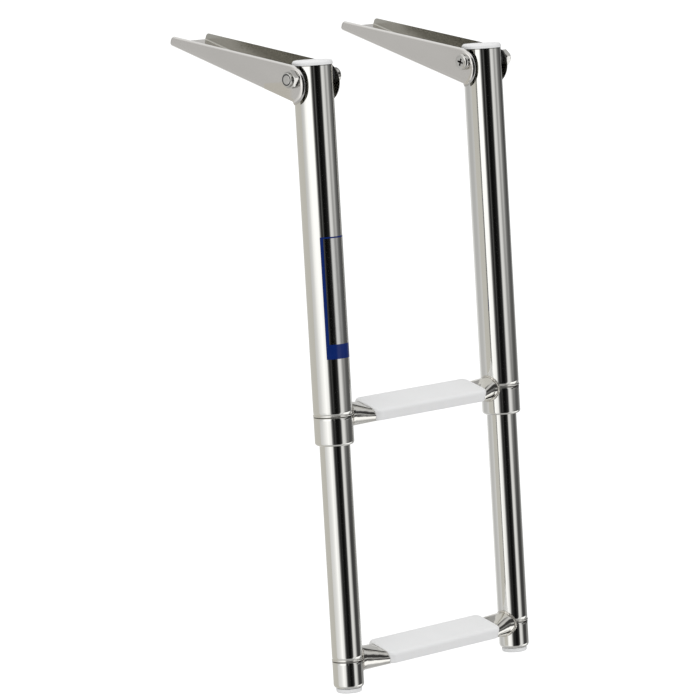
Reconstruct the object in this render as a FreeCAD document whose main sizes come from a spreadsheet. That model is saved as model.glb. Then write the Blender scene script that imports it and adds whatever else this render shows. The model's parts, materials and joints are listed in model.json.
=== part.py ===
"""Two-step telescopic boarding ladder that stands over a swim platform.

Model frame, millimetres: X runs across the ladder from the left rail to the right one, Y points
inboard over the platform, Z is up. The origin lies on the flat underside of the left bracket, midway
between its two screw holes. The rails lean outboard from the hinge bolts and the treads are level.
"""
import FreeCAD, Part
import math
import os
import Sketcher

V = FreeCAD.Vector

# Driving sizes. Lengths are millimetres, angles are degrees.
SIZES = {
    # whole ladder
    "RailSpacing": 200.0,
    "RailTilt": 19.0,
    "HingeToUpperSeam": 272.5,
    "StepSpacing": 200.0,
    # rails
    "UpperTubeWall": 1.5,
    "LowerTubeDia": 25.0,
    "LowerTubeWall": 1.5,
    "TelescopeGap": 2.0,
    "TubeAboveHinge": 10.1,
    # white top caps
    "CapThickness": 3.9,
    "CapOverhang": 0.4,
    "CapPlugLength": 4.0,
    "CapPlugWall": 2.0,
    "CapRound": 2.5,
    # collars under the upper rails, with the nylon bush that guides the lower rail
    "CollarHeight": 24.0,
    "CollarRound": 2.5,
    "SeamRound": 1.2,
    "CollarSpigot": 14.0,
    "CollarLip": 3.0,
    "LipGap": 0.5,
    "BushWall": 1.0,
    "SlideGap": 0.1,
    "PressGap": 0.05,
    # stop sleeve round the upper end of a lower rail
    "StopLength": 24.0,
    "StopGap": 0.3,
    "StopSideGap": 0.35,
    # fittings and plugs at the foot of the lower rails
    "FittingHeight": 23.0,
    "FittingRound": 3.5,
    "FittingWall": 4.5,
    "FittingSpigot": 14.0,
    "FootThickness": 3.5,
    "FootPlugLength": 8.0,
    "FootRound": 1.5,
    "FootInset": 2.0,
    # steps: a round bar pressed to a flat-sided oval under a plastic tread
    "BarDia": 20.0,
    "BarWall": 1.2,
    "BarDrop": 1.5,
    "BarCrest": 0.4,
    "FlatWidth": 25.5,
    "FlatThickness": 11.8,
    "FlatDrop": 0.55,
    "RoundStub": 0.8,
    "TreadLength": 133.5,
    "TreadOffset": 2.8,
    "TreadDepth": 30.0,
    "TreadThickness": 10.0,
    "TreadRise": 1.75,
    "TreadCorner": 6.0,
    "TreadRound": 3.0,
    "TreadFootRound": 1.0,
    "TreadGap": 0.1,
    "WeldGap": 0.03,
    # folded sheet brackets
    "SheetThickness": 2.5,
    "BendRadius": 3.5,
    "StowGap": 0.4,
    "SideGap": 3.5,
    "BracketReach": 145.0,
    "TipHeight": 8.1,
    "TipRound": 4.0,
    "TipFootRound": 2.2,
    "EarRadius": 16.6,
    "EarInboard": 4.5,
    "EarDrop": 6.75,
    "EarFoot": 3.5,
    "EarFootRound": 0.6,
    "FoldStart": 2.0,
    "SlotWidth": 24.0,
    "SlotEnd": 17.8,
    "SlotRound": 6.0,
    "LeanGap": 0.3,
    "ScrewHoleDia": 6.5,
    "CountersinkDepth": 1.75,
    "ScrewSpacing": 70.0,
    "ScrewPairFromHinge": 82.0,
    # hinge bolts
    "BoltDia": 8.0,
    "BoltGap": 0.15,
    "BoltHeadDia": 13.4,
    "BoltHeadHeight": 4.8,
    "BoltHeadRound": 2.4,
    "BoltEndReach": 0.2,
    "BoltEndRound": 0.8,
    "CrossLength": 6.2,
    "CrossWidth": 1.6,
    "CrossDepth": 2.5,
    "NutFlats": 13.0,
    "NutHexHeight": 5.0,
    "NutCornerCut": 1.0,
    "NutCollarDia": 11.0,
    "NutCollarHeight": 2.2,
    "NutCollarRound": 0.8,
    "WasherDia": 14.5,
    "WasherThickness": 1.0,
    "SpacerDia": 12.0,
    "SpacerFaceGap": 0.1,
}

doc = FreeCAD.newDocument("BoardingLadder")
sheet = doc.addObject("Spreadsheet::Sheet", "Sizes")
for row, (alias, number) in enumerate(SIZES.items(), start=1):
    sheet.set(f"A{row}", alias)
    sheet.set(f"B{row}", str(number))
    sheet.setAlias(f"B{row}", alias)

# Sizes that follow from the driving ones, kept in the same sheet.
DERIVED = {
    "UpperTubeDia": "LowerTubeDia + 2 * TelescopeGap + 2 * UpperTubeWall",
    "UpperRadius": "UpperTubeDia / 2",
    "UpperBore": "UpperTubeDia / 2 - UpperTubeWall",
    "LowerRadius": "LowerTubeDia / 2",
    "LowerBore": "LowerTubeDia / 2 - LowerTubeWall",
    "GuideBore": "LowerTubeDia / 2 + SlideGap",
    "BushOuter": "LowerTubeDia / 2 + SlideGap + BushWall",
    "FittingBore": "LowerTubeDia - 2 * FittingWall",
    "NutHeight": "NutHexHeight + NutCollarHeight",
    "HingeHeight": "SheetThickness + StowGap + UpperTubeDia / 2",
    "InnerWidth": "UpperTubeDia + 2 * SideGap",
    "OuterWidth": "UpperTubeDia + 2 * SideGap + 2 * SheetThickness",
    "LowerSeam": "HingeToUpperSeam + StepSpacing",
    "CollarTopInside": "HingeToUpperSeam - CollarSpigot",
}
for row, (alias, formula) in enumerate(DERIVED.items(), start=len(SIZES) + 1):
    sheet.set(f"A{row}", alias)
    sheet.set(f"B{row}", "=" + formula)
    sheet.setAlias(f"B{row}", alias)
doc.recompute()


def size(formula):
    """The number that a formula in the sheet's own names gives."""
    return float(sheet.evalExpression(formula))


def linked(formula):
    """The same formula, written for an object outside the sheet."""
    out, word = "", ""
    for letter in formula + " ":
        if letter.isalnum() or letter == "_":
            word += letter
            continue
        out += f"Sizes.{word}" if word in SIZES or word in DERIVED else word
        out += letter
        word = ""
    return out.strip()


def bind(thing, path, formula):
    thing.setExpression(path, linked(formula))


def new_body(name):
    made = doc.addObject("PartDesign::Body", name)
    made.Label = name
    return made


def new_sketch(body, role, name, offset=None):
    """A sketch on one of the body's own planes, moved along the plane's normal by a formula."""
    made = body.newObject("Sketcher::SketchObject", name)
    plane = next(f for f in body.Origin.OriginFeatures if f.Role == role)
    made.AttachmentSupport = (plane, [""])
    made.MapMode = "FlatFace"
    if offset:
        bind(made, "AttachmentOffset.Base.z", offset)
    return made


def pin_point(sketch, geometry, end, across, up):
    """Hold one point of the sketch at two formulas measured from the sketch's origin."""
    for kind, formula in (("DistanceX", across), ("DistanceY", up)):
        number = size(formula)
        if number < 0:
            rule = Sketcher.Constraint(kind, geometry, end, -1, 1, -number)
            formula = f"-({formula})"
        else:
            rule = Sketcher.Constraint(kind, -1, 1, geometry, end, number)
        index = sketch.addConstraint(rule)
        bind(sketch, f"Constraints[{index}]", formula)


def polygon(sketch, points):
    """A closed outline of straight lines through points that are pairs of formulas."""
    spots = [V(size(a), size(b), 0) for a, b in points]
    first = sketch.GeometryCount
    for here, there in zip(spots, spots[1:] + spots[:1]):
        sketch.addGeometry(Part.LineSegment(here, there), False)
    count = len(points)
    for i in range(count):
        after = first + (i + 1) % count
        sketch.addConstraint(Sketcher.Constraint("Coincident", first + i, 2, after, 1))
    for i, (across, up) in enumerate(points):
        pin_point(sketch, first + i, 1, across, up)


def circle(sketch, radius, across="0", up="0"):
    centre = V(size(across), size(up), 0)
    index = sketch.addGeometry(Part.Circle(centre, V(0, 0, 1), size(radius)), False)
    pin_point(sketch, index, 3, across, up)
    rule = sketch.addConstraint(Sketcher.Constraint("Radius", index, size(radius)))
    bind(sketch, f"Constraints[{rule}]", radius)


def stadium(sketch, width, height, up="0"):
    """A flat-sided oval centred above the sketch's origin, its round ends as high as it is."""
    across, end = f"(({width}) - ({height})) / 2", f"({height}) / 2"
    half, radius, level = size(across), size(end), size(up)
    out, quarter = V(0, 0, 1), math.pi / 2
    right = Part.ArcOfCircle(Part.Circle(V(half, level, 0), out, radius), -quarter, quarter)
    left = Part.ArcOfCircle(Part.Circle(V(-half, level, 0), out, radius), quarter, 3 * quarter)
    top = Part.LineSegment(V(half, level + radius, 0), V(-half, level + radius, 0))
    bottom = Part.LineSegment(V(-half, level - radius, 0), V(half, level - radius, 0))
    for piece in (right, top, left, bottom):
        sketch.addGeometry(piece, False)
    joins = ((0, 2, 1, 1), (1, 2, 2, 1), (2, 2, 3, 1), (3, 2, 0, 1))
    for join in joins:
        sketch.addConstraint(Sketcher.Constraint("Tangent", *join))
    pin_point(sketch, 0, 3, across, up)
    pin_point(sketch, 2, 3, f"-({across})", up)
    rule = sketch.addConstraint(Sketcher.Constraint("Radius", 0, radius))
    bind(sketch, f"Constraints[{rule}]", end)


def revolve(body, name, points, kind="PartDesign::Revolution"):
    """Turn an outline of (radius, height) formulas round the body's Z axis, to add or to cut."""
    profile = new_sketch(body, "XZ_Plane", name + "_profile")
    polygon(profile, points)
    turned = body.newObject(kind, name + "_turned")
    turned.Profile = profile
    turned.ReferenceAxis = (profile, ["V_Axis"])
    turned.Angle = 360
    return turned


def cut_through(body, name, sketch, length):
    """A pocket to both sides of its sketch."""
    pocket = body.newObject("PartDesign::Pocket", name)
    pocket.Profile = sketch
    pocket.Midplane = True
    bind(pocket, "Length", length)
    doc.recompute()
    return pocket


def dress_edges(body, name, kind, reach, wanted):
    """Fillet or chamfer each edge of the body's tip whose middle point passes the test."""
    doc.recompute()
    base = body.Tip
    names = []
    for number, edge in enumerate(base.Shape.Edges, start=1):
        middle = edge.valueAt((edge.FirstParameter + edge.LastParameter) / 2)
        if wanted(edge, middle):
            names.append(f"Edge{number}")
    if not names:
        raise RuntimeError(f"{name}: no such edge")
    dressed = body.newObject(f"PartDesign::{kind}", name)
    dressed.Base = (base, names)
    bind(dressed, {"Fillet": "Radius", "Chamfer": "Size"}[kind], reach)
    body.Tip = dressed
    return dressed


def round_edges(body, name, radius, wanted):
    return dress_edges(body, name, "Fillet", radius, wanted)


def ring_at(radius, height):
    """A test for the circular edges of a turned piece at one radius and height."""
    def test(edge, middle):
        return (
            abs(math.hypot(middle.x, middle.y) - size(radius)) < 0.01
            and abs(middle.z - size(height)) < 0.01
        )
    return test


def place(thing, across, inboard, up, turn=None, angle=None):
    """Bind a piece's Placement: three formulas for its place, and a turn about one axis."""
    if turn is not None:
        thing.Placement = FreeCAD.Placement(V(0, 0, 0), FreeCAD.Rotation(turn, size(angle)))
        bind(thing, "Placement.Rotation.Angle", angle)
    bind(thing, "Placement.Base.x", across)
    bind(thing, "Placement.Base.y", inboard)
    bind(thing, "Placement.Base.z", up)


def place_on_rail(thing, side_x):
    """Put a piece that was drawn along the rail, with the hinge axis at its origin, on its rail."""
    place(thing, side_x, "-ScrewPairFromHinge", "HingeHeight", V(-1, 0, 0), "RailTilt")


def place_step(thing, level):
    """Put a level step between the rails, its middle at a distance down the rails."""
    inboard = f"-ScrewPairFromHinge - ({level}) * sin(RailTilt * 1 deg)"
    place(thing, "RailSpacing / 2", inboard, f"HingeHeight - ({level}) * cos(RailTilt * 1 deg)")


SIDES = {"left": "0", "right": "RailSpacing"}
pieces = []


def keep(thing):
    pieces.append(thing)
    return thing


# Rails

def upper_rail(side):
    """Round tube, cross-drilled for the hinge bolt."""
    name = f"{side}_upper_rail"
    rail = new_body(name)
    ring = new_sketch(rail, "XY_Plane", name + "_ring", "-(HingeToUpperSeam)")
    circle(ring, "UpperRadius")
    circle(ring, "UpperBore")
    tube = rail.newObject("PartDesign::Pad", name + "_tube")
    tube.Profile = ring
    bind(tube, "Length", "HingeToUpperSeam + TubeAboveHinge")
    doc.recompute()
    drill = new_sketch(rail, "YZ_Plane", name + "_bolt_hole")
    circle(drill, "BoltDia / 2 + BoltGap")
    cut_through(rail, name + "_drilled", drill, "UpperTubeDia * 2")
    round_edges(rail, name + "_seam", "min(SeamRound; 0.85 * UpperTubeWall)",
                ring_at("UpperRadius", "-HingeToUpperSeam"))
    place_on_rail(rail, SIDES[side])
    return keep(rail)


def lower_rail(side):
    """Round tube that slides in the upper one, from the stop sleeve down to the end fitting."""
    name = f"{side}_lower_rail"
    rail = new_body(name)
    ring = new_sketch(rail, "XY_Plane", name + "_ring", "-(LowerSeam)")
    circle(ring, "LowerRadius")
    circle(ring, "LowerBore")
    tube = rail.newObject("PartDesign::Pad", name + "_tube")
    tube.Profile = ring
    bind(tube, "Length", "LowerSeam - CollarTopInside + StopGap + StopLength")
    place_on_rail(rail, SIDES[side])
    round_edges(rail, name + "_seam", "min(SeamRound; 0.85 * LowerTubeWall)",
                ring_at("LowerRadius", "-LowerSeam"))
    return keep(rail)


def top_cap(side):
    """White cap with a hollow plug that is pushed into the top of the upper rail."""
    name = f"{side}_top_cap"
    cap = new_body(name)
    seat, top = "TubeAboveHinge", "TubeAboveHinge + CapThickness"
    plug, low = "UpperBore - PressGap", "TubeAboveHinge - CapPlugLength"
    rim = "UpperRadius + CapOverhang"
    revolve(cap, name, [
        ("0", top), (rim, top), (rim, seat), (plug, seat),
        (plug, low), (f"{plug} - CapPlugWall", low), (f"{plug} - CapPlugWall", seat), ("0", seat),
    ])
    round_edges(cap, name + "_edge", "CapRound", ring_at(rim, top))
    place_on_rail(cap, SIDES[side])
    return keep(cap)


def middle_collar(side):
    """Machined collar on the foot of an upper rail: its spigot is fixed in the tube."""
    name = f"{side}_middle_collar"
    collar = new_body(name)
    seam = "-HingeToUpperSeam"
    foot = "-HingeToUpperSeam - CollarHeight"
    lip = "LowerRadius + LipGap"
    bush = "BushOuter + PressGap"
    spigot = "UpperBore - PressGap"
    revolve(collar, name, [
        (lip, foot), ("UpperRadius", foot), ("UpperRadius", seam), (spigot, seam),
        (spigot, "-CollarTopInside"), (bush, "-CollarTopInside"),
        (bush, f"{foot} + CollarLip"), (lip, f"{foot} + CollarLip"),
    ])
    foot_width = "UpperRadius - LowerRadius - LipGap"
    round_edges(collar, name + "_foot", f"min(CollarRound; 0.85 * ({foot_width}))",
                ring_at("UpperRadius", foot))
    round_edges(collar, name + "_seam", "SeamRound", ring_at("UpperRadius", seam))
    place_on_rail(collar, SIDES[side])
    return keep(collar)


def guide_bush(side):
    """Nylon bush inside the collar, the bearing that the lower rail slides in."""
    name = f"{side}_guide_bush"
    bush = new_body(name)
    foot = "-HingeToUpperSeam - CollarHeight + CollarLip"
    revolve(bush, name, [
        ("GuideBore", foot), ("BushOuter", foot),
        ("BushOuter", "-CollarTopInside"), ("GuideBore", "-CollarTopInside"),
    ])
    place_on_rail(bush, SIDES[side])
    return keep(bush)


def stop_sleeve(side):
    """Nylon sleeve fixed round the top of a lower rail: it lands on the collar's spigot."""
    name = f"{side}_stop_sleeve"
    sleeve = new_body(name)
    foot = "-CollarTopInside + StopGap"
    inner, outer = "LowerRadius + PressGap", "UpperBore - StopSideGap"
    revolve(sleeve, name, [
        (inner, foot), (outer, foot),
        (outer, f"{foot} + StopLength"), (inner, f"{foot} + StopLength"),
    ])
    place_on_rail(sleeve, SIDES[side])
    return keep(sleeve)


def end_fitting(side):
    """Thick-walled end of a lower rail, spigoted into the tube, that carries the lower step."""
    name = f"{side}_end_fitting"
    fitting = new_body(name)
    seam, foot = "-LowerSeam", "-LowerSeam - FittingHeight"
    inner, spigot = "FittingBore / 2", "LowerBore - PressGap"
    revolve(fitting, name, [
        (inner, foot), ("LowerRadius", foot), ("LowerRadius", seam), (spigot, seam),
        (spigot, f"{seam} + FittingSpigot"), (inner, f"{seam} + FittingSpigot"),
    ])
    round_edges(fitting, name + "_foot", "min(FittingRound; 0.85 * FittingWall)",
                ring_at("LowerRadius", foot))
    round_edges(fitting, name + "_seam", "SeamRound", ring_at("LowerRadius", seam))
    place_on_rail(fitting, SIDES[side])
    return keep(fitting)


def foot_plug(side):
    """White plug pushed into the bottom of an end fitting."""
    name = f"{side}_foot_plug"
    plug = new_body(name)
    foot = "-LowerSeam - FittingHeight"
    low = "-LowerSeam - FittingHeight - FootThickness"
    rim = "LowerRadius - FootInset"
    stem = "FittingBore / 2 - PressGap"
    revolve(plug, name, [
        ("0", low), (rim, low), (rim, foot), (stem, foot),
        (stem, f"{foot} + FootPlugLength"), ("0", f"{foot} + FootPlugLength"),
    ])
    round_edges(plug, name + "_edge", "FootRound", ring_at(rim, low))
    place_on_rail(plug, SIDES[side])
    return keep(plug)


# Steps

def step_bar(name, level, rail_radius):
    """Round tube pressed oval under the tread, coped to the rails that it is welded to."""
    bar = new_body(name)
    flat_left, flat_right = "TreadLength / 2 - TreadOffset", "TreadLength / 2 + TreadOffset"
    round_end = f"RailSpacing / 2 - {rail_radius} - RoundStub"
    tip = "RailSpacing / 2"
    stations = [(f"-({tip})", False), (f"-({round_end})", False), (f"-({flat_left})", True),
                (flat_right, True), (round_end, False), (tip, False)]

    def loft(kind, label, less):
        sections = []
        for number, (at, flat) in enumerate(stations):
            drawn = new_sketch(bar, "YZ_Plane", f"{name}_{label}_{number}", at)
            if flat:
                stadium(drawn, f"FlatWidth - {less}", f"FlatThickness - {less}", "-FlatDrop")
            else:
                stadium(drawn, f"BarDia + BarCrest - {less}", f"BarDia - {less}")
            sections.append(drawn)
        made = bar.newObject(kind, f"{name}_{label}")
        made.Profile = sections[0]
        made.Sections = sections[1:]
        made.Ruled = True
        doc.recompute()
        return made

    loft("PartDesign::AdditiveLoft", "outside", "0")
    loft("PartDesign::SubtractiveLoft", "inside", "2 * BarWall")
    for side, at in (("left", "-RailSpacing / 2"), ("right", "RailSpacing / 2")):
        saddle = bar.newObject("PartDesign::SubtractiveCylinder", f"{name}_{side}_saddle")
        bind(saddle, "Radius", f"{rail_radius} + WeldGap")
        bind(saddle, "Height", "BarDia * 3")
        turn = FreeCAD.Rotation(V(-1, 0, 0), size("RailTilt"))
        saddle.Placement = FreeCAD.Placement(V(0, 0, 0), turn)
        bind(saddle, "Placement.Rotation.Angle", "RailTilt")
        bind(saddle, "Placement.Base.x", at)
        bind(saddle, "Placement.Base.y", "-BarDia * 1.5 * sin(RailTilt * 1 deg)")
        bind(saddle, "Placement.Base.z", "-BarDia * 1.5 * cos(RailTilt * 1 deg)")
        doc.recompute()
    place_step(bar, level)
    return keep(bar)


def step_pad(name, level):
    """White plastic tread with rounded corners, open below, that the bar's oval lies in."""
    pad = new_body(name)
    plan = new_sketch(pad, "XY_Plane", name + "_plan", "TreadRise - TreadThickness / 2")
    left, right = "-(TreadLength / 2 - TreadOffset)", "TreadLength / 2 + TreadOffset"
    sides = "TreadDepth / 2"
    polygon(plan, [(left, f"-{sides}"), (right, f"-{sides}"), (right, sides), (left, sides)])
    block = pad.newObject("PartDesign::Pad", name + "_block")
    block.Profile = plan
    bind(block, "Length", "TreadThickness")
    round_edges(pad, name + "_corners", "TreadCorner",
                lambda edge, middle: abs(middle.z - size("TreadRise")) < 0.01)
    top, underside = "TreadRise + TreadThickness / 2", "TreadRise - TreadThickness / 2"
    for which, radius, height in (("_top", "TreadRound", top),
                                  ("_foot", "TreadFootRound", underside)):
        round_edges(pad, name + which, radius,
                    lambda edge, middle: abs(middle.z - size(height)) < 0.01)
    width, thickness = "FlatWidth + 2 * TreadGap", "FlatThickness + 2 * TreadGap"
    slot = new_sketch(pad, "YZ_Plane", name + "_slot")
    stadium(slot, width, thickness, "-FlatDrop")
    cut_through(pad, name + "_through", slot, "TreadLength * 2")
    mouth = new_sketch(pad, "YZ_Plane", name + "_mouth")
    half, deep = f"({width}) / 2", "-TreadThickness"
    polygon(mouth, [(f"-{half}", deep), (half, deep), (half, "-FlatDrop"),
                    (f"-{half}", "-FlatDrop")])
    cut_through(pad, name + "_open", mouth, "TreadLength * 2")
    place_step(pad, level)
    return keep(pad)


# Brackets

def bracket_outline(sketch):
    """Side view of a bracket: a straight taper over the platform and a round ear at the hinge.

    The sketch's origin is the hinge axis, its first axis points inboard and its second one up.
    """
    radius = size("EarRadius")
    middle = V(size("EarInboard"), -size("EarDrop"), 0)
    base = -size("HingeHeight")
    tip_top = V(size("BracketReach"), base + size("TipHeight"), 0)
    tip_foot = V(size("BracketReach"), base, 0)
    fold = V(-size("FoldStart"), base, 0)

    # the top edge leaves the ear at a tangent and runs straight to the tip
    reach = tip_top.sub(middle)
    rise = math.atan2(reach.y, reach.x) + math.acos(radius / reach.Length)
    top = middle.add(V(radius * math.cos(rise), radius * math.sin(rise), 0))
    # the ear ends under the hinge, a little below the fold
    across = -size("EarFoot") - middle.x
    foot = middle.add(V(across, -math.sqrt(radius ** 2 - across ** 2), 0))
    last = math.atan2(foot.y - middle.y, foot.x - middle.x)

    ear_ring = Part.Circle(middle, V(0, 0, 1), radius)
    ear_arc = sketch.addGeometry(Part.ArcOfCircle(ear_ring, rise, last), False)
    step = sketch.addGeometry(Part.LineSegment(foot, fold), False)
    under = sketch.addGeometry(Part.LineSegment(fold, tip_foot), False)
    end = sketch.addGeometry(Part.LineSegment(tip_foot, tip_top), False)
    slope = sketch.addGeometry(Part.LineSegment(tip_top, top), False)

    rule = Sketcher.Constraint
    for line in (
        rule("Tangent", slope, 2, ear_arc, 1), rule("Coincident", ear_arc, 2, step, 1),
        rule("Coincident", step, 2, under, 1), rule("Coincident", under, 2, end, 1),
        rule("Coincident", end, 2, slope, 1),
    ):
        sketch.addConstraint(line)
    pin_point(sketch, ear_arc, 3, "EarInboard", "-EarDrop")
    pin_point(sketch, under, 1, "-FoldStart", "-HingeHeight")
    pin_point(sketch, end, 1, "BracketReach", "-HingeHeight")
    pin_point(sketch, slope, 1, "BracketReach", "TipHeight - HingeHeight")
    made = sketch.addConstraint(rule("Radius", ear_arc, radius))
    bind(sketch, f"Constraints[{made}]", "EarRadius")
    made = sketch.addConstraint(rule("DistanceX", step, 1, -1, 1, size("EarFoot")))
    bind(sketch, f"Constraints[{made}]", "EarFoot")


def bracket(side):
    """Folded sheet channel, open at the top, screwed flat to the platform and bolted to a rail."""
    name = f"{side}_bracket"
    channel = new_body(name)
    side_view = new_sketch(channel, "YZ_Plane", name + "_side")
    bracket_outline(side_view)
    block = channel.newObject("PartDesign::Pad", name + "_block")
    block.Profile = side_view
    block.Midplane = True
    bind(block, "Length", "OuterWidth")
    doc.recompute()

    reach, base = size("BracketReach"), -size("HingeHeight")
    for which, radius, height in (("_tip", "TipRound", "TipHeight - HingeHeight"),
                                  ("_tip_foot", "TipFootRound", "-HingeHeight")):
        round_edges(channel, name + which, radius,
                    lambda edge, middle: abs(middle.y - reach) < 0.01
                    and abs(middle.z - size(height)) < 0.01)
    round_edges(channel, name + "_ear_foot", "EarFootRound",
                lambda edge, middle: abs(middle.y + size("EarFoot")) < 0.01
                and middle.z < base and abs(middle.x) < 0.01)
    round_edges(channel, name + "_bends", "BendRadius",
                lambda edge, middle: abs(middle.z - base) < 0.01
                and abs(abs(middle.x) - size("OuterWidth / 2")) < 0.01
                and middle.y > 0)

    trough = new_sketch(channel, "XZ_Plane", name + "_trough")
    half, floor = "InnerWidth / 2", "SheetThickness - HingeHeight"
    polygon(trough, [(f"-{half}", floor), (half, floor), (half, "EarRadius * 2"),
                     (f"-{half}", "EarRadius * 2")])
    cut_through(channel, name + "_inside", trough, "BracketReach * 4")
    round_edges(channel, name + "_inner_bends", "BendRadius - SheetThickness",
                lambda edge, middle: abs(middle.z - size(floor)) < 0.01
                and abs(abs(middle.x) - size(half)) < 0.01)

    # the rail passes through the web here and leans on the two shoulders beside the slot
    notch = new_sketch(channel, "XY_Plane", name + "_notch", "-HingeHeight")
    narrow, behind = "SlotWidth / 2", "-EarRadius * 2"
    touch = "sqrt(pow(UpperRadius; 2) - pow(SlotWidth / 2; 2)) / cos(RailTilt * 1 deg)"
    shoulder = f"{touch} - (UpperRadius + StowGap) * tan(RailTilt * 1 deg) + LeanGap"
    polygon(notch, [
        (f"-{half}", behind), (half, behind), (half, shoulder), (narrow, shoulder),
        (narrow, "SlotEnd"), (f"-{narrow}", "SlotEnd"), (f"-{narrow}", shoulder),
        (f"-{half}", shoulder),
    ])
    cut_through(channel, name + "_rail_notch", notch, "EarRadius * 2")
    round_edges(channel, name + "_slot_corners", "SlotRound",
                lambda edge, middle: abs(middle.y - size("SlotEnd")) < 0.01
                and abs(abs(middle.x) - size(narrow)) < 0.01)

    pivot = new_sketch(channel, "YZ_Plane", name + "_pivot")
    circle(pivot, "BoltDia / 2 + PressGap")
    cut_through(channel, name + "_bolt_hole", pivot, "OuterWidth * 2")

    screws = new_sketch(channel, "XY_Plane", name + "_screws", "-HingeHeight")
    circle(screws, "ScrewHoleDia / 2", "0", "ScrewPairFromHinge - ScrewSpacing / 2")
    circle(screws, "ScrewHoleDia / 2", "0", "ScrewPairFromHinge + ScrewSpacing / 2")
    cut_through(channel, name + "_screw_holes", screws, "SheetThickness * 4")
    dress_edges(channel, name + "_countersinks", "Chamfer", "CountersinkDepth",
                lambda edge, middle: abs(middle.z - size(floor)) < 0.01
                and abs(abs(middle.x) - size("ScrewHoleDia / 2")) < 0.01
                and abs(middle.y) > size("SlotEnd"))
    place(channel, SIDES[side], "-ScrewPairFromHinge", "HingeHeight")
    return keep(channel)


# Hinge bolts. Each is drawn along Z and laid along X; the nut is on the outboard side of its
# bracket on the left and on the right, and the head on the side that faces the other bracket.

def place_on_hinge(thing, side):
    angle = {"left": "90", "right": "270"}[side]
    place(thing, SIDES[side], "-ScrewPairFromHinge", "HingeHeight", V(0, 1, 0), angle)


def hinge_bolt(side):
    name = f"{side}_hinge_bolt"
    bolt = new_body(name)
    face = "OuterWidth / 2"
    end = "-OuterWidth / 2 - WasherThickness - NutHeight - BoltEndReach"
    shank, head = "BoltDia / 2", "BoltHeadDia / 2"
    revolve(bolt, name, [
        ("0", end), (shank, end), (shank, face), (head, face),
        (head, f"{face} + BoltHeadHeight"), ("0", f"{face} + BoltHeadHeight"),
    ])
    round_edges(bolt, name + "_dome", "BoltHeadRound", ring_at(head, f"{face} + BoltHeadHeight"))
    round_edges(bolt, name + "_end", "BoltEndRound", ring_at(shank, end))
    for number, (wide, high) in enumerate((("CrossLength", "CrossWidth"),
                                           ("CrossWidth", "CrossLength"))):
        cross = new_sketch(bolt, "XY_Plane", f"{name}_cross_{number}", f"{face} + BoltHeadHeight")
        polygon(cross, [(f"-{wide} / 2", f"-{high} / 2"), (f"{wide} / 2", f"-{high} / 2"),
                        (f"{wide} / 2", f"{high} / 2"), (f"-{wide} / 2", f"{high} / 2")])
        cut_through(bolt, f"{name}_recess_{number}", cross, "CrossDepth * 2")
    place_on_hinge(bolt, side)
    return keep(bolt)


def hinge_washer(side):
    """Steel washer under the nut."""
    name = f"{side}_hinge_washer"
    washer = new_body(name)
    low, high = "-OuterWidth / 2 - WasherThickness", "-OuterWidth / 2"
    bore = "BoltDia / 2 + PressGap"
    revolve(washer, name, [
        (bore, low), ("WasherDia / 2", low), ("WasherDia / 2", high), (bore, high),
    ])
    place_on_hinge(washer, side)
    return keep(washer)


def lock_nut(side):
    """Hexagon nut with a nylon ring, modelled with its plain bore."""
    name = f"{side}_lock_nut"
    nut = new_body(name)
    seat = "-OuterWidth / 2 - WasherThickness"
    shoulder, end = f"{seat} - NutHexHeight", f"{seat} - NutHeight"
    bore, corner = "BoltDia / 2 + PressGap", "NutFlats / sqrt(3)"
    face = new_sketch(nut, "XY_Plane", name + "_hexagon", shoulder)
    turns = [60 * k for k in range(6)]
    polygon(face, [(f"{corner} * cos({a} deg)", f"{corner} * sin({a} deg)") for a in turns])
    circle(face, bore)
    block = nut.newObject("PartDesign::Pad", name + "_block")
    block.Profile = face
    bind(block, "Length", "NutHexHeight")
    doc.recompute()
    # both ends are cut back to the flats by a cone of 30 degrees
    for which, level, sign in (("_face", seat, "-"), ("_back", shoulder, "+")):
        flat, out = "NutFlats / 2", f"{corner} + NutCornerCut"
        depth = f"({out} - {flat}) * tan(30 deg)"
        revolve(nut, name + which, [(flat, level), (out, level), (out, f"{level} {sign} {depth}")],
                "PartDesign::Groove")
    ring = "NutCollarDia / 2"
    revolve(nut, name + "_collar", [(bore, end), (ring, end), (ring, shoulder), (bore, shoulder)])
    round_edges(nut, name + "_collar_edge", "NutCollarRound", ring_at(ring, end))
    place_on_hinge(nut, side)
    return keep(nut)


def nylon_spacer(side, which):
    """Nylon washer between the rail and one cheek of its bracket."""
    name = f"{side}_{which}_spacer"
    spacer = new_body(name)
    near = "UpperRadius + SpacerFaceGap"
    far = "InnerWidth / 2 - SpacerFaceGap"
    bore = "BoltDia / 2 + BoltGap"
    low, high = (near, far) if which == "inner" else (f"-({far})", f"-({near})")
    revolve(spacer, name, [
        (bore, low), ("SpacerDia / 2", low), ("SpacerDia / 2", high), (bore, high),
    ])
    place_on_hinge(spacer, side)
    return keep(spacer)


UPPER_LEVEL = "HingeToUpperSeam + BarDrop"
LOWER_LEVEL = "LowerSeam + BarDrop"

for each in SIDES:
    bracket(each)
    hinge_bolt(each)
    hinge_washer(each)
    lock_nut(each)
    nylon_spacer(each, "inner")
    nylon_spacer(each, "outer")
    upper_rail(each)
    top_cap(each)
    middle_collar(each)
    guide_bush(each)
    lower_rail(each)
    stop_sleeve(each)
    end_fitting(each)
    foot_plug(each)
step_bar("upper_step_bar", UPPER_LEVEL, "UpperRadius")
step_pad("upper_step_pad", UPPER_LEVEL)
step_bar("lower_step_bar", LOWER_LEVEL, "LowerRadius")
step_pad("lower_step_pad", LOWER_LEVEL)
doc.recompute()

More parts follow.
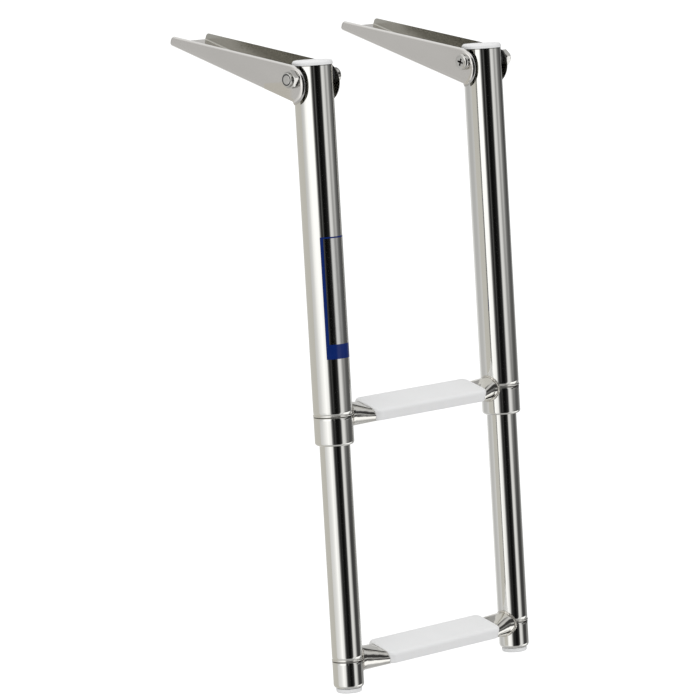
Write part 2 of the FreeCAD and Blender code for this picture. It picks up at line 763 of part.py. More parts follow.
# Every object and every piece is sound before anything is written.
for thing in doc.Objects:
    if "Invalid" in thing.State or "Error" in thing.State:
        raise RuntimeError(f"{thing.Name} failed: {thing.State}")
for piece in pieces:
    if piece.Shape.isNull() or not piece.Shape.isValid():
        raise RuntimeError(f"{piece.Label} has no sound shape")

os.makedirs("parts", exist_ok=True)
for piece in pieces:
    piece.Shape.exportStep(f"parts/{piece.Label}.step")
    box = piece.Shape.BoundBox
    print(piece.Label, len(piece.Shape.Solids), round(piece.Shape.Volume, 1),
          [round(n, 2) for n in (box.XMin, box.YMin, box.ZMin, box.XMax, box.YMax, box.ZMax)])
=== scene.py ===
"""Studio picture of a two-step telescopic boarding ladder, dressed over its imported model.

Every length is in metres, in the model's own frame: X across the ladder, Y inboard over the
platform, Z up, with the origin under the left bracket.
"""
import json
import math

import bmesh
import bpy
from mathutils import Matrix, Vector

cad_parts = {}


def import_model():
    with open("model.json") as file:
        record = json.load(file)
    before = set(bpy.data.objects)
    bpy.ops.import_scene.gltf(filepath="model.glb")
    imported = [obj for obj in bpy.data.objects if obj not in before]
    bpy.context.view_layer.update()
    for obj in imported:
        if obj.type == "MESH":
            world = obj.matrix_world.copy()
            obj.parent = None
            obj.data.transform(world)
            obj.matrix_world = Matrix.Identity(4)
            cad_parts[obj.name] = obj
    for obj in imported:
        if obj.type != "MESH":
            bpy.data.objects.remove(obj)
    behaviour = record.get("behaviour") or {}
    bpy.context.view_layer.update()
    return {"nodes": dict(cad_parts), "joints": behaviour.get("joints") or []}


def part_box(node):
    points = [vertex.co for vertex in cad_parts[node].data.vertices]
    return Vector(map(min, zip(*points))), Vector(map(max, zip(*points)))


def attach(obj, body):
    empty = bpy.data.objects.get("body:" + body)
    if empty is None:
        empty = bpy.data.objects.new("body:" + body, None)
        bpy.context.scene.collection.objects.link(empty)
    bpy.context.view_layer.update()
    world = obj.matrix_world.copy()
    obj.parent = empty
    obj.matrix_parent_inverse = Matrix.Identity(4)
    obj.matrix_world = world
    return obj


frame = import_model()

MM = 0.001

# Camera: where it aims, how far off it stands, its heading, dip and roll in degrees, and its
# lens and sensor in millimetres
CAMERA_AIM = Vector((90.1, -95.7, -222.3)) * MM
CAMERA_DISTANCE = 3.5586
CAMERA_HEADING = 48.468
CAMERA_DOWN = 19.198
CAMERA_ROLL = 10.837
CAMERA_LENS = 220.26

SENSOR_WIDTH = 36.0

# Floor: its level, half its side, its grey, and how much it glows to the camera
FLOOR_LEVEL = -0.8
FLOOR_HALF = 9.0
FLOOR_GREY = 0.62
FLOOR_GLOW = 0.46

# Key lamp: its strength, and how wide it looks, in degrees
KEY_STRENGTH = 0.45
KEY_WIDTH = 40

# Weld beads round the bars
BEAD_RADIUS = 1.15 * MM
BEAD_LIFT = 0.2 * MM
BEAD_RIPPLES = 34
RIPPLE_DEPTH = 0.16

# Polished rings in the grooves where a collar or an end fitting meets its tube
RING_RADIUS = 0.95 * MM
RING_SINK = 0.55 * MM

# Rivets under the steps, and how far the flat of a bar lies below the bar's own middle
RIVET_RADIUS = 4.0 * MM
RIVET_HEIGHT = 1.3 * MM
RIVET_FROM_MIDDLE = 42 * MM
FLAT_UNDERSIDE = 6.45 * MM

# Blank film on the left upper rail: its ends along the rail and its turn round it, in degrees
FILM_FROM = 127.4 * MM
FILM_TO = 225.8 * MM
FILM_THICKNESS = 0.1 * MM
FILM_START = -8
FILM_TURN = 128
FILM_BORDER = 2.6 * MM
FILM_FOOT = 11.8 * MM
FILM_HEAD = 1.2 * MM

# Nylon locking rings of the nuts: radii, how far they stand out and how deep they go in
INSERT_INNER = 3.7 * MM
INSERT_OUTER = 4.8 * MM
INSERT_PROUD = 0.12 * MM
INSERT_DEPTH = 0.2 * MM
INSERT_ROUND = 0.15 * MM

# A bracket's side plates begin this far from the middle of its rail
PLATE_FROM = 19.2 * MM
PLATE_FULL = 19.6 * MM

# Grey card: its near and far edge, to the camera's right and toward the camera, in millimetres,
# and how far down the rail it begins and ends, in metres
CARD_NEAR = (-36, 13)
CARD_FAR = (-55, -100)
CARD_TOP = 0.003
CARD_FOOT = 0.6

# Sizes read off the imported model
HINGE = Vector(frame["joints"][0]["pos_m"])
SLIDE = Vector(frame["joints"][1]["axis"]).normalized()
if SLIDE.z > 0:
    SLIDE.negate()


def middle(node):
    low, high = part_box(node)
    return (low + high) / 2


def across(node):
    low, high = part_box(node)
    return high - low


def rail_end(rail, number):
    """How far from the hinge down the rail its foot (0) or its top (1) lies. Both are square."""
    overhang = across(rail).x / 2 * abs(SLIDE.y) * (1 - 2 * number)
    return (HINGE.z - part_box(rail)[number].z - overhang) / abs(SLIDE.z)


LEFT_X, RIGHT_X = middle("left_upper_rail").x, middle("right_upper_rail").x
UPPER_RADIUS = across("left_upper_rail").x / 2
LOWER_RADIUS = across("left_lower_rail").x / 2
RAIL_TOP = rail_end("left_upper_rail", 1)
UPPER_SEAM, LOWER_SEAM = rail_end("left_upper_rail", 0), rail_end("left_lower_rail", 0)
BAR_RADIUS = across("upper_step_bar").z / 2


# Camera

def camera():
    """The photograph's long lens. Returns the directions that it looks in and to its right."""
    heading, down = math.radians(CAMERA_HEADING), math.radians(CAMERA_DOWN)
    ahead = Vector((
        math.sin(heading) * math.cos(down), math.cos(heading) * math.cos(down), -math.sin(down),
    ))
    right = ahead.cross(Vector((0, 0, 1))).normalized()
    up = right.cross(ahead)
    roll = Matrix.Rotation(-math.radians(CAMERA_ROLL), 3, ahead)
    right, up = roll @ right, roll @ up
    data = bpy.data.cameras.new("camera")
    data.lens, data.sensor_width = CAMERA_LENS, SENSOR_WIDTH
    data.clip_start, data.clip_end = 0.05, 60.0
    made = bpy.data.objects.new("camera", data)
    facing = Matrix((right, up, -ahead)).transposed().to_4x4()
    made.matrix_world = Matrix.Translation(CAMERA_AIM - ahead * CAMERA_DISTANCE) @ facing
    bpy.context.collection.objects.link(made)
    bpy.context.scene.camera = made
    return ahead, right


AHEAD, RIGHT = camera()

# Square to the rails: toward the camera, and to its right
FRONT = -(AHEAD - SLIDE * AHEAD.dot(SLIDE)).normalized()
SIDEWAYS = FRONT.cross(SLIDE).normalized()
if SIDEWAYS.dot(RIGHT) < 0:
    SIDEWAYS.negate()


# Node helpers

def node(tree, kind, inputs=None, **settings):
    """A shader node. An input is a number, a colour or another node's output socket."""
    made = tree.nodes.new("ShaderNode" + kind)
    for name, value in settings.items():
        setattr(made, name, value)
    for name, value in (inputs or {}).items():
        if isinstance(value, bpy.types.NodeSocket):
            tree.links.new(value, made.inputs[name])
        else:
            made.inputs[name].default_value = value
    return made


def maths(tree, operation, first, second=0.0):
    return node(tree, "Math", {0: first, 1: second}, operation=operation).outputs[0]


def spread(tree, value, low, high, to_low, to_high, smooth=False):
    """The value's range from low to high, mapped to another one and held at its ends."""
    inputs = {"Value": value, "From Min": low, "From Max": high,
              "To Min": to_low, "To Max": to_high}
    kind = "SMOOTHSTEP" if smooth else "LINEAR"
    return node(tree, "MapRange", inputs, interpolation_type=kind).outputs["Result"]


def mixed(tree, share, first, second):
    """Two colours, mixed by the second one's share."""
    return node(tree, "Mix", {0: share, 6: first, 7: second}, data_type="RGBA").outputs[2]


def between(tree, share, first, second):
    """Two numbers, mixed by the second one's share."""
    return node(tree, "Mix", {0: share, 2: first, 3: second}, data_type="FLOAT").outputs[0]


def openness(tree, distance):
    """How open a spot is, from 0 in a deep corner to 1."""
    return node(tree, "AmbientOcclusion", {"Distance": distance}, samples=8).outputs["AO"]


def noise(tree, size, detail=2.0, stretch=(1, 1, 1), tilt=0.0):
    """Noise in the piece's own space. Its grains are about size long, times the stretch."""
    spot = node(tree, "TexCoord").outputs["Object"]
    scale = [1 / (size * much) for much in stretch]
    tilted = node(tree, "Mapping", {"Vector": spot, "Rotation": (tilt, 0, 0)}).outputs[0]
    sized = node(tree, "Mapping", {"Vector": tilted, "Scale": scale}).outputs[0]
    return node(tree, "TexNoise", {"Vector": sized, "Scale": 1.0, "Detail": detail}).outputs["Fac"]


def bump(tree, height, distance, strength=1.0, normal=None):
    inputs = {"Height": height, "Distance": distance, "Strength": strength}
    if normal is not None:
        inputs["Normal"] = normal
    return node(tree, "Bump", inputs).outputs["Normal"]


def material(name, **sockets):
    """A Principled material with plain values on its sockets, ready for nodes to be added."""
    made = bpy.data.materials.new(name)
    made.use_nodes = True
    shader = made.node_tree.nodes["Principled BSDF"]
    for key, value in sockets.items():
        shader.inputs[key.replace("_", " ")].default_value = value
    return made, made.node_tree, shader


def feed(tree, shader, **sockets):
    for key, value in sockets.items():
        tree.links.new(value, shader.inputs[key.replace("_", " ")])


# Materials

RAIL_LEAN = math.atan2(-SLIDE.y, -SLIDE.z)


def polished_tube():
    """Bright drawn tube with faint draw lines, its edges buffed round beside the seams, with
    painted shade below the seam rings and under the cap.
    """
    made, tree, shader = material("polished_tube", Metallic=1.0)
    lines = noise(tree, 0.6 * MM, 2, (1, 1, 220), RAIL_LEAN)
    clouds = noise(tree, 18 * MM, 2, (1, 1, 3), RAIL_LEAN)
    from_hinge = node(tree, "VectorMath", {0: node(tree, "TexCoord").outputs["Object"], 1: HINGE},
                      operation="SUBTRACT").outputs["Vector"]
    down = node(tree, "VectorMath", {0: from_hinge, 1: SLIDE},
                operation="DOT_PRODUCT").outputs["Value"]
    upper, lower = [maths(tree, "SUBTRACT", down, seam) for seam in (UPPER_SEAM, LOWER_SEAM)]
    nearest = maths(tree, "MINIMUM", maths(tree, "ABSOLUTE", upper), maths(tree, "ABSOLUTE", lower))
    buffed = spread(tree, nearest, 1.0 * MM, 3.4 * MM, 1, 0)
    hollow = maths(tree, "MULTIPLY", maths(tree, "MULTIPLY", buffed, buffed), -0.75 * MM)
    # painted shade: a dark band is painted just below each ring and just under the cap
    under = [maths(tree, "MULTIPLY", spread(tree, below, 1.3 * MM, 1.8 * MM, 1, 0),
                   spread(tree, below, 0, 0.1 * MM, 0, 1)) for below in (upper, lower)]
    top = spread(tree, maths(tree, "SUBTRACT", down, RAIL_TOP), 0.4 * MM, 0.9 * MM, 0.85, 0)
    dark = maths(tree, "MAXIMUM", maths(tree, "MAXIMUM", *under), top)
    bright = mixed(tree, clouds, (0.735, 0.730, 0.700, 1), (0.765, 0.760, 0.730, 1))
    colour = mixed(tree, dark, bright, (0.10, 0.095, 0.085, 1))
    feed(tree, shader, Base_Color=colour, Roughness=spread(tree, lines, 0.3, 0.7, 0.03, 0.05),
         Normal=bump(tree, lines, 0.003 * MM, normal=bump(tree, hollow, 1.0)))
    return made


def polished_bar():
    """Tube that was pressed and hand-polished, so its reflections wander."""
    made, tree, shader = material("polished_bar", Metallic=1.0)
    waves = noise(tree, 6 * MM, 1, (2.5, 1, 1))
    fine = noise(tree, 0.8 * MM, 2, (30, 1, 1))
    colour = mixed(tree, waves, (0.68, 0.665, 0.62, 1), (0.76, 0.75, 0.72, 1))
    feed(tree, shader, Base_Color=colour, Roughness=spread(tree, fine, 0.3, 0.7, 0.05, 0.10),
         Normal=bump(tree, fine, 0.004 * MM, normal=bump(tree, waves, 0.3 * MM)))
    return made


def satin_sheet():
    """Folded sheet: a fine satin grain outside and polished cut edges, with painted shade on the
    inner faces and in the corners.
    """
    made, tree, shader = material("satin_sheet", Metallic=1.0)
    grain = noise(tree, 0.4 * MM, 2, (1, 60, 1))
    clouds = noise(tree, 22 * MM, 2, (1, 2.5, 1))
    place = node(tree, "SeparateXYZ", {"Vector": node(tree, "TexCoord").outputs["Object"]})
    facing = node(tree, "SeparateXYZ", {"Vector": node(tree, "TexCoord").outputs["Normal"]})
    # both brackets share the material: X is folded to the distance from the nearer rail
    spacing = RIGHT_X - LEFT_X
    aside = node(tree, "Math", {0: place.outputs["X"], 1: spacing / 2, 2: -spacing / 2},
                 operation="WRAP").outputs[0]
    away = maths(tree, "ABSOLUTE", aside)
    in_plate = spread(tree, away, PLATE_FROM, PLATE_FULL, 0, 1)
    on_edge = spread(tree, maths(tree, "ABSOLUTE", facing.outputs["X"]), 0.5, 0.8, 1, 0)
    above = spread(tree, place.outputs["Z"], 2.6 * MM, 4.2 * MM, 0, 1)
    edge = maths(tree, "MULTIPLY", maths(tree, "MULTIPLY", in_plate, on_edge), above)
    # painted shade: faces turned in toward the rail, away from the cut edges, are painted darker
    inward = maths(tree, "LESS_THAN", maths(tree, "MULTIPLY", aside, facing.outputs["X"]), 0.0)
    inner_shade_mask = maths(tree, "MULTIPLY", inward, maths(tree, "SUBTRACT", 1.0, on_edge))
    outside = mixed(tree, clouds, (0.66, 0.64, 0.61, 1), (0.72, 0.70, 0.67, 1))
    painted_inner_shade = mixed(tree, clouds, (0.44, 0.43, 0.39, 1), (0.52, 0.51, 0.46, 1))
    body = mixed(tree, edge, mixed(tree, inner_shade_mask, outside, painted_inner_shade), (0.76, 0.75, 0.73, 1))
    # painted shade: corners and the gaps between parts are painted near black by how open they are
    corner = spread(tree, openness(tree, 7 * MM), 0.15, 0.55, 1, 0)
    colour = mixed(tree, corner, body, (0.04, 0.038, 0.032, 1))
    rough = between(tree, edge, spread(tree, grain, 0.3, 0.7, 0.16, 0.22), 0.15)
    # the flats of the sheet stay flat right up to the cut edges
    geometry = node(tree, "NewGeometry").outputs
    true = node(tree, "SeparateXYZ", {"Vector": geometry["True Normal"]}).outputs
    square = maths(tree, "MAXIMUM", maths(tree, "ABSOLUTE", true["X"]),
                   maths(tree, "ABSOLUTE", true["Z"]))
    flat = node(tree, "Mix", {0: spread(tree, square, 0.9985, 0.9995, 0, 1),
                              4: geometry["Normal"], 5: geometry["True Normal"]},
                data_type="VECTOR").outputs[1]
    feed(tree, shader, Base_Color=colour, Roughness=rough,
         Normal=bump(tree, grain, 0.003 * MM, normal=flat))
    return made


def fastener_steel():
    """Turned bolt heads and nuts: bright and a little scuffed, with painted shade in their hollows.
    """
    made, tree, shader = material("fastener_steel", Metallic=1.0)
    scuffs = noise(tree, 1.5 * MM, 3)
    bright = mixed(tree, scuffs, (0.54, 0.53, 0.50, 1), (0.70, 0.69, 0.665, 1))
    # painted shade: the recess and the hollows round the nut are painted near black by how open
    # they are
    corner = spread(tree, openness(tree, 2.4 * MM), 0.35, 0.8, 1, 0)
    colour = mixed(tree, corner, bright, (0.03, 0.03, 0.028, 1))
    soft_edge = node(tree, "Bevel", {"Radius": 0.25 * MM}, samples=4).outputs["Normal"]
    feed(tree, shader, Base_Color=colour, Roughness=spread(tree, scuffs, 0.3, 0.7, 0.08, 0.16),
         Normal=bump(tree, scuffs, 0.01 * MM, normal=soft_edge))
    return made


def weld_steel():
    """Polished weld metal, faintly straw-coloured in places."""
    made, tree, shader = material("weld_steel", Metallic=1.0)
    tint = noise(tree, 4 * MM, 3)
    pits = noise(tree, 0.5 * MM, 3)
    colour = mixed(tree, tint, (0.54, 0.51, 0.45, 1), (0.76, 0.74, 0.70, 1))
    feed(tree, shader, Base_Color=colour, Roughness=spread(tree, pits, 0.3, 0.7, 0.10, 0.22),
         Normal=bump(tree, pits, 0.05 * MM))
    return made


def moulded_white():
    """White moulded plastic with a fine even grain."""
    made, tree, shader = material("moulded_white", IOR=1.49)
    grain = noise(tree, 0.35 * MM, 2)
    clouds = noise(tree, 30 * MM, 2)
    colour = mixed(tree, clouds, (0.820, 0.824, 0.828, 1), (0.845, 0.847, 0.847, 1))
    feed(tree, shader, Base_Color=colour, Roughness=spread(tree, clouds, 0.35, 0.65, 0.36, 0.44),
         Normal=bump(tree, grain, 0.012 * MM))
    return made


def natural_nylon():
    """Waxy off-white nylon of the bushes and sleeves."""
    made, tree, shader = material("natural_nylon", IOR=1.53, Subsurface_Weight=0.15,
                                  Subsurface_Scale=1.5 * MM)
    clouds = noise(tree, 6 * MM, 3)
    colour = mixed(tree, clouds, (0.74, 0.72, 0.64, 1), (0.80, 0.785, 0.72, 1))
    feed(tree, shader, Base_Color=colour, Roughness=spread(tree, clouds, 0.3, 0.7, 0.38, 0.5),
         Normal=bump(tree, noise(tree, 0.5 * MM, 2), 0.01 * MM))
    return made


def black_nylon():
    """Black nylon of the spacers and of the locking rings in the nuts."""
    made, tree, shader = material("black_nylon", IOR=1.53)
    clouds = noise(tree, 1.5 * MM, 3)
    colour = mixed(tree, clouds, (0.02, 0.02, 0.022, 1), (0.05, 0.05, 0.052, 1))
    feed(tree, shader, Base_Color=colour, Roughness=spread(tree, clouds, 0.3, 0.7, 0.35, 0.5))
    return made


def clear_film():
    """Blank glossy film: clear over the steel, with a blue border at one side, top and foot."""
    made, tree, shader = material("clear_film", Specular_IOR_Level=0.25)
    uv = node(tree, "SeparateXYZ", {"Vector": node(tree, "UVMap", uv_map="film").outputs["UV"]})
    along, round_it = uv.outputs["Y"], uv.outputs["X"]
    length = FILM_TO - FILM_FROM
    side = maths(tree, "LESS_THAN", round_it, FILM_BORDER)
    foot = maths(tree, "GREATER_THAN", along, length - FILM_FOOT)
    head = maths(tree, "LESS_THAN", along, FILM_HEAD)
    ink = maths(tree, "MAXIMUM", maths(tree, "MAXIMUM", side, foot), head)
    mottle = noise(tree, 5 * MM, 2)
    blue = mixed(tree, mottle, (0.004, 0.017, 0.115, 1), (0.006, 0.023, 0.15, 1))
    steel = mixed(tree, mottle, (0.60, 0.60, 0.585, 1), (0.65, 0.65, 0.635, 1))
    colour = mixed(tree, ink, steel, blue)
    feed(tree, shader, Base_Color=colour, Metallic=maths(tree, "SUBTRACT", 1.0, ink),
         Roughness=spread(tree, mottle, 0.3, 0.7, 0.06, 0.09))
    return made


TUBE, BAR, SHEET = polished_tube(), polished_bar(), satin_sheet()
FASTENER, WELD, BLACK = fastener_steel(), weld_steel(), black_nylon()
WHITE, NYLON, FILM = moulded_white(), natural_nylon(), clear_film()

FINISHES = {
    "bracket": SHEET, "bolt": FASTENER, "washer": FASTENER, "nut": FASTENER, "spacer": BLACK,
    "rail": TUBE, "cap": WHITE, "collar": TUBE, "bush": NYLON, "sleeve": NYLON, "fitting": TUBE,
    "plug": WHITE, "bar": BAR, "pad": WHITE,
}
for name, piece in frame["nodes"].items():
    for place in piece.material_slots:
        place.material = FINISHES[name.rsplit("_", 1)[1]]


# Mesh helpers

def add_piece(name, bm, finish, body):
    """A piece from a finished bmesh, shaded smooth up to its sharp edges, riding on its body."""
    bmesh.ops.recalc_face_normals(bm, faces=bm.faces)
    mesh = bpy.data.meshes.new(name)
    bm.to_mesh(mesh)
    bm.free()
    mesh.materials.append(finish)
    mesh.shade_smooth()
    mesh.set_sharp_from_angle(angle=math.radians(50))
    made = bpy.data.objects.new(name, mesh)
    bpy.context.collection.objects.link(made)
    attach(made, body)


def skin(bm, rings, closed):
    """Faces between neighbouring rings of vertices, and from the last to the first if closed."""
    pairs = list(zip(rings, rings[1:]))
    if closed:
        pairs.append((rings[-1], rings[0]))
    for here, there in pairs:
        for i, corner in enumerate(here):
            after = (i + 1) % len(here)
            bm.faces.new((corner, here[after], there[after], there[i]))


def turned(name, profile, origin, axis, finish, body, sides=48):
    """A lathe piece. The profile is pairs of radius and height along the axis from the origin."""
    bm = bmesh.new()
    axis = axis.normalized()
    side = axis.orthogonal().normalized()
    other = axis.cross(side)
    rings = []
    for radius, height in profile:
        ring = []
        for step in range(sides):
            angle = 2 * math.pi * step / sides
            out = side * math.cos(angle) + other * math.sin(angle)
            ring.append(bm.verts.new(origin + axis * height + out * radius))
        rings.append(ring)
    skin(bm, rings, False)
    bm.faces.new(rings[0])
    bm.faces.new(rings[-1])
    add_piece(name, bm, finish, body)


# Pieces

def weld_bead(name, bar, rail_x, rail_radius, body):
    """Rippled bead along the saddle where a bar meets a rail."""
    centre = middle(bar)
    toward = 1 if centre.x > rail_x else -1
    aside = Vector((0, -SLIDE.z, SLIDE.y))
    reach, bar_reach = rail_radius + BEAD_LIFT, BAR_RADIUS + BEAD_LIFT
    bm, rings = bmesh.new(), []
    steps, sides = BEAD_RIPPLES * 8, 14

    def on_saddle(angle):
        out = Vector((0, math.cos(angle), math.sin(angle)))
        from_axis = (out * bar_reach).dot(aside)
        depth = math.sqrt(reach ** 2 - from_axis ** 2)
        spot = Vector((rail_x + toward * depth, centre.y, centre.z)) + out * bar_reach
        return spot, out

    for step in range(steps):
        angle = 2 * math.pi * step / steps
        spot, out = on_saddle(angle)
        along = (on_saddle(angle + 0.01)[0] - on_saddle(angle - 0.01)[0]).normalized()
        out = (out - along * out.dot(along)).normalized()
        other = along.cross(out)
        ring = []
        for side in range(sides):
            turn = 2 * math.pi * side / sides
            # each ripple is a crescent: it starts late at the bead's two sides
            phase = BEAD_RIPPLES * angle / (2 * math.pi) + 0.35 * math.cos(2 * turn)
            swell = 1 - RIPPLE_DEPTH * (phase % 1.0)
            wander = 1 + 0.05 * math.sin(3 * angle + toward) + 0.04 * math.sin(7 * angle)
            radius = BEAD_RADIUS * swell * wander
            ring.append(bm.verts.new(
                spot + (out * math.cos(turn) + other * math.sin(turn)) * radius))
        rings.append(ring)
    skin(bm, rings, True)
    add_piece(name, bm, WELD, body)


for bar, body, radius in (("upper_step_bar", "upper_frame", UPPER_RADIUS),
                          ("lower_step_bar", "lower_frame", LOWER_RADIUS)):
    for side, rail_x in (("left", LEFT_X), ("right", RIGHT_X)):
        weld_bead(f"{side}_{bar[:5]}_weld", bar, rail_x, radius, body)


def rivets(bar, pad, body):
    """Two blind rivets that hold a tread to the flat of its bar, seen from below."""
    spot = middle(pad)
    spot.z = middle(bar).z - FLAT_UNDERSIDE
    for side, reach in (("left", -RIVET_FROM_MIDDLE), ("right", RIVET_FROM_MIDDLE)):
        hole = RIVET_RADIUS * 0.3
        profile = [(RIVET_RADIUS * 0.98, -0.3 * MM), (RIVET_RADIUS, 0.1 * MM)]
        for step in range(1, 9):
            angle = math.pi / 2 * step / 8
            radius = hole + (RIVET_RADIUS - hole) * math.cos(angle)
            profile.append((radius, 0.1 * MM + (RIVET_HEIGHT - 0.1 * MM) * math.sin(angle)))
        profile += [(hole * 0.9, RIVET_HEIGHT * 0.9), (hole * 0.85, RIVET_HEIGHT * 0.3)]
        turned(f"{bar[:5]}_{side}_rivet", profile, spot + Vector((reach, 0, 0)),
               Vector((0, 0, -1)), FASTENER, body)


rivets("upper_step_bar", "upper_step_pad", "upper_frame")
rivets("lower_step_bar", "lower_step_pad", "lower_frame")


def nut_insert(side):
    """Nylon locking ring, set in the face of a nut round the end of its bolt."""
    low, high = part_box(f"{side}_lock_nut")
    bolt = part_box(f"{side}_hinge_bolt")
    outboard = -1 if abs(low.x - bolt[0].x) < abs(high.x - bolt[1].x) else 1
    face = low.x if outboard < 0 else high.x
    profile = [(INSERT_OUTER, -INSERT_DEPTH), (INSERT_OUTER, 0.0),
               (INSERT_OUTER - INSERT_ROUND, INSERT_PROUD),
               (INSERT_INNER + INSERT_ROUND, INSERT_PROUD),
               (INSERT_INNER, 0.0), (INSERT_INNER, -INSERT_DEPTH)]
    turned(f"{side}_nut_insert", profile, Vector((face, HINGE.y, HINGE.z)),
           Vector((outboard, 0, 0)), BLACK, "brackets")


nut_insert("left")
nut_insert("right")


def seam_ring(name, seam, rail_x, rail_radius, body):
    """Polished ring lying in the groove at the foot of a tube."""
    centre = Vector((rail_x, HINGE.y, HINGE.z)) + SLIDE * seam
    side, other = Vector((1, 0, 0)), Vector((1, 0, 0)).cross(SLIDE)
    bm, rings = bmesh.new(), []
    steps, sides = 96, 16
    for step in range(steps):
        angle = 2 * math.pi * step / steps
        out = side * math.cos(angle) + other * math.sin(angle)
        ring = []
        for number in range(sides):
            turn = 2 * math.pi * number / sides
            reach = rail_radius - RING_SINK + RING_RADIUS * math.cos(turn)
            ring.append(bm.verts.new(
                centre + out * reach + SLIDE * RING_RADIUS * math.sin(turn)))
        rings.append(ring)
    skin(bm, rings, True)
    add_piece(name, bm, BAR, body)


for side, rail_x in (("left", LEFT_X), ("right", RIGHT_X)):
    seam_ring(f"{side}_upper_seam_ring", UPPER_SEAM, rail_x, UPPER_RADIUS, "upper_frame")
    seam_ring(f"{side}_lower_seam_ring", LOWER_SEAM, rail_x, LOWER_RADIUS, "lower_frame")


def blank_film():
    """Thin film stuck round the front of the left upper rail, with nothing printed on it."""
    bm = bmesh.new()
    layer = bm.loops.layers.uv.new("film")
    start = Vector((LEFT_X, HINGE.y, HINGE.z))
    steps, length = 48, FILM_TO - FILM_FROM
    rows = [FILM_FROM, FILM_FROM + length * 0.25, FILM_FROM + length * 0.5,
            FILM_FROM + length * 0.75, FILM_TO]
    spots = {}
    for layer_number, radius in enumerate((UPPER_RADIUS - 0.02 * MM,
                                           UPPER_RADIUS + FILM_THICKNESS)):
        for row, down in enumerate(rows):
            for step in range(steps + 1):
                angle = math.radians(FILM_START + FILM_TURN * step / steps)
                out = FRONT * math.cos(angle) + SIDEWAYS * math.sin(angle)
                spots[layer_number, row, step] = bm.verts.new(start + SLIDE * down + out * radius)

    def face(*keys):
        made = bm.faces.new([spots[key] for key in keys])
        for loop, (_, row, step) in zip(made.loops, keys):
            round_it = UPPER_RADIUS * math.radians(FILM_TURN) * step / steps
            loop[layer].uv = (round_it, rows[row] - FILM_FROM)

    last = len(rows) - 1
    for row in range(last):
        for step in range(steps):
            for side in (0, 1):
                face((side, row, step), (side, row, step + 1),
                     (side, row + 1, step + 1), (side, row + 1, step))
        for step in (0, steps):
            face((0, row, step), (0, row + 1, step), (1, row + 1, step), (1, row, step))
    for step in range(steps):
        for row in (0, last):
            face((0, row, step), (0, row, step + 1), (1, row, step + 1), (1, row, step))
    add_piece("blank_film", bm, FILM, "upper_frame")


blank_film()


# Studio

def floor():
    """Plain pale floor well below the feet. The camera sees it white, with the shadow kept."""
    mesh = bpy.data.meshes.new("floor")
    half, level = FLOOR_HALF, FLOOR_LEVEL
    corners = [(-half, -half, level), (half, -half, level), (half, half, level),
               (-half, half, level)]
    mesh.from_pydata(corners, [], [(0, 1, 2, 3)])
    made, tree, shader = material("floor", Roughness=0.9, Specular_IOR_Level=0.0)
    shader.inputs["Base Color"].default_value = (FLOOR_GREY, FLOOR_GREY, FLOOR_GREY, 1)
    shader.inputs["Emission Color"].default_value = (1, 1, 1, 1)
    seen = node(tree, "LightPath").outputs["Is Camera Ray"]
    feed(tree, shader, Emission_Strength=maths(tree, "MULTIPLY", seen, FLOOR_GLOW))
    mesh.materials.append(made)
    ground = bpy.data.objects.new("floor", mesh)
    ground.visible_glossy = False
    bpy.context.collection.objects.link(ground)


# The studio round the ladder as polished metal sees it: a large softbox, a dark flag with a slit
# and a pale card, by the angle round the rails from the camera's side to its right. The first
# level is for what the upper rails see, and the second is for what the lower ones see.
STUDIO = (
    (-180, 0.90, 0.90), (-148, 0.80, 0.90), (-126, 0.56, 0.62), (-104, 0.55, 0.64),
    (-88, 0.64, 0.74), (-74, 0.72, 0.82), (-66, 0.88, 0.88), (-57, 1.22, 0.93),
    (-46, 1.38, 1.08), (-36, 1.38, 1.30), (-20, 1.38, 1.05), (-8, 0.10, 0.16),
    (-3, 0.02, 0.05), (2, 0.04, 0.02), (6, 0.12, 0.03), (11, 0.02, 0.02), (17, 0.003, 0.006),
    (27, 0.007, 0.007), (41, 0.02, 0.04), (54, 0.90, 0.90), (64, 0.78, 0.90), (74, 0.40, 0.50),
    (81, 0.52, 0.12), (89, 0.66, 0.06), (97, 0.36, 0.06), (106, 0.18, 0.07), (118, 0.13, 0.10),
    (130, 0.06, 0.20), (148, 0.25, 0.45), (180, 0.70, 0.80),
)

# What lies to the right of the ladder, by height from -1 to 1: a level, and how much it hides the
# bands. A bright pool of light on the floor, and a dark flag with a pale ceiling over it.
RIGHT_SIDE = (
    (-1.0, 0.50, 1), (-0.62, 0.50, 1), (-0.50, 1.35, 1), (-0.14, 1.35, 1), (-0.07, 0.60, 0),
    (0.24, 0.30, 0), (0.30, 0.05, 1), (0.56, 0.05, 1), (0.64, 0.70, 1), (1.0, 0.80, 1),
)


def grey_card():
    """Warm grey card beside the left rail. Only reflections show it, in both rails."""
    mesh = bpy.data.meshes.new("grey_card")
    start = Vector((LEFT_X, HINGE.y, HINGE.z))
    edges = [start + (SIDEWAYS * aside + FRONT * toward) * MM
             for aside, toward in (CARD_NEAR, CARD_FAR)]
    corners = [spot + SLIDE * down for down, spots in ((CARD_TOP, edges), (CARD_FOOT, edges[::-1]))
               for spot in spots]
    mesh.from_pydata(corners, [], [(0, 1, 2, 3)])
    made = bpy.data.materials.new("grey_card")
    made.use_nodes = True
    tree = made.node_tree
    glow = node(tree, "Emission", {"Color": (0.64, 0.625, 0.58, 1)})
    tree.links.new(glow.outputs[0], tree.nodes["Material Output"].inputs["Surface"])
    mesh.materials.append(made)
    card = bpy.data.objects.new("grey_card", mesh)
    for kind in ("camera", "diffuse", "transmission", "volume_scatter", "shadow"):
        setattr(card, "visible_" + kind, False)
    bpy.context.collection.objects.link(card)


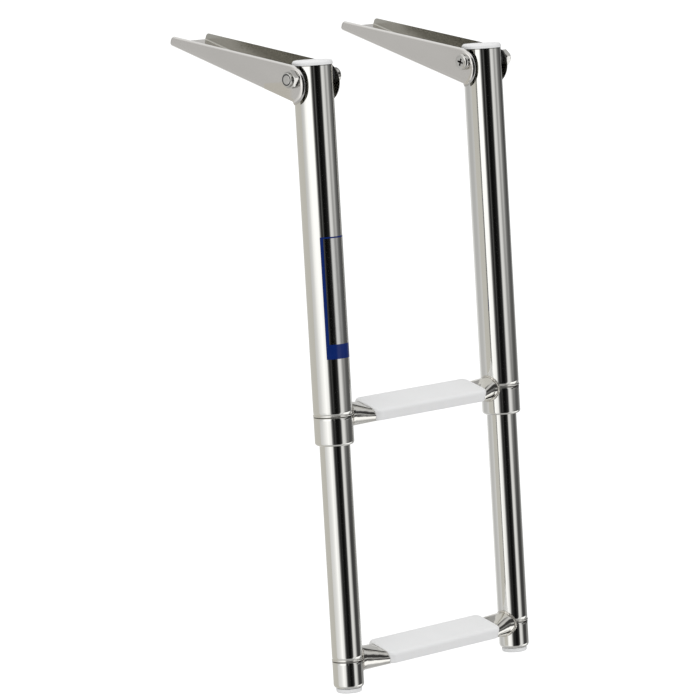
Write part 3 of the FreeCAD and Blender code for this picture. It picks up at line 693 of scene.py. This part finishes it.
def world():
    """Even white light, and for reflections a studio of vertical bands that close at the poles."""
    made = bpy.data.worlds.new("studio")
    made.use_nodes = True
    tree = made.node_tree
    back = tree.nodes["Background"]
    toward = node(tree, "TexCoord").outputs["Generated"]

    def part(direction):
        return node(tree, "VectorMath", {0: toward, 1: direction},
                    operation="DOT_PRODUCT").outputs["Value"]

    def ramp(value, low, high, stops, mode):
        ramped = node(tree, "ValToRGB", {"Fac": spread(tree, value, low, high, 0, 1)})
        ramped.color_ramp.interpolation = mode
        marks = ramped.color_ramp.elements
        while len(marks) < len(stops):
            marks.new(0.5)
        for mark, (at, first, second) in zip(marks, stops):
            mark.position = (at - low) / (high - low)
            mark.color = (first, second, 0, 1)
        return node(tree, "SeparateColor", {"Color": ramped.outputs["Color"]})

    turn = maths(tree, "MULTIPLY", maths(tree, "ARCTAN2", part(SIDEWAYS), part(FRONT)),
                 180 / math.pi)
    rise, up = part(-SLIDE), part(Vector((0, 0, 1)))
    bands = ramp(turn, -180, 180, STUDIO, "EASE")
    upper = spread(tree, rise, -0.15, -0.06, 0, 1)
    level = between(tree, upper, bands.outputs["Green"], bands.outputs["Red"])

    # the flag reaches further behind the ladder than the pool of light does
    past = maths(tree, "SUBTRACT", turn, spread(tree, up, 0.0, 0.15, 125, 165))
    beside = maths(tree, "MULTIPLY", spread(tree, turn, 68, 78, 0, 1, smooth=True),
                   spread(tree, past, -7, 7, 1, 0, smooth=True))
    side = ramp(up, -1, 1, RIGHT_SIDE, "LINEAR")
    cover = maths(tree, "MULTIPLY", beside, side.outputs["Green"])
    level = between(tree, cover, level, side.outputs["Red"])

    pole = spread(tree, maths(tree, "ABSOLUTE", rise), 0.62, 0.86, 0, 1, smooth=True)
    poles = spread(tree, rise, -1, 1, 0.5, 0.98)
    # a dark flag high behind the ladder, for the flats at the right end of the steps
    flag = maths(tree, "MULTIPLY", spread(tree, turn, 88, 104, 0, 1),
                 spread(tree, rise, 0.45, 0.6, 0, 1))
    poles = between(tree, flag, poles, spread(tree, turn, 160, 173, 0.13, 0.42))
    reflected = between(tree, pole, level, poles)
    even = spread(tree, up, -1, 1, 0.62, 1.0)
    path = node(tree, "LightPath")
    seen = mixed(tree, path.outputs["Is Glossy Ray"], even, reflected)
    colour = mixed(tree, path.outputs["Is Camera Ray"], seen, (1, 1, 1, 1))
    tree.links.new(colour, back.inputs["Color"])
    back.inputs["Strength"].default_value = 1.0
    bpy.context.scene.world = made


def key_light():
    """One very soft lamp above the camera's left shoulder, kept out of the reflections."""
    lamp = bpy.data.lights.new("key", "SUN")
    lamp.energy, lamp.angle = KEY_STRENGTH, math.radians(KEY_WIDTH)
    made = bpy.data.objects.new("key", lamp)
    aim = (AHEAD * 0.7 + RIGHT * 0.45 + Vector((0, 0, -1.1))).normalized()
    made.rotation_euler = aim.to_track_quat("-Z", "Y").to_euler()
    made.visible_glossy = False
    bpy.context.collection.objects.link(made)


floor()
grey_card()
world()
key_light()
bpy.context.scene.view_settings.view_transform = "Standard"
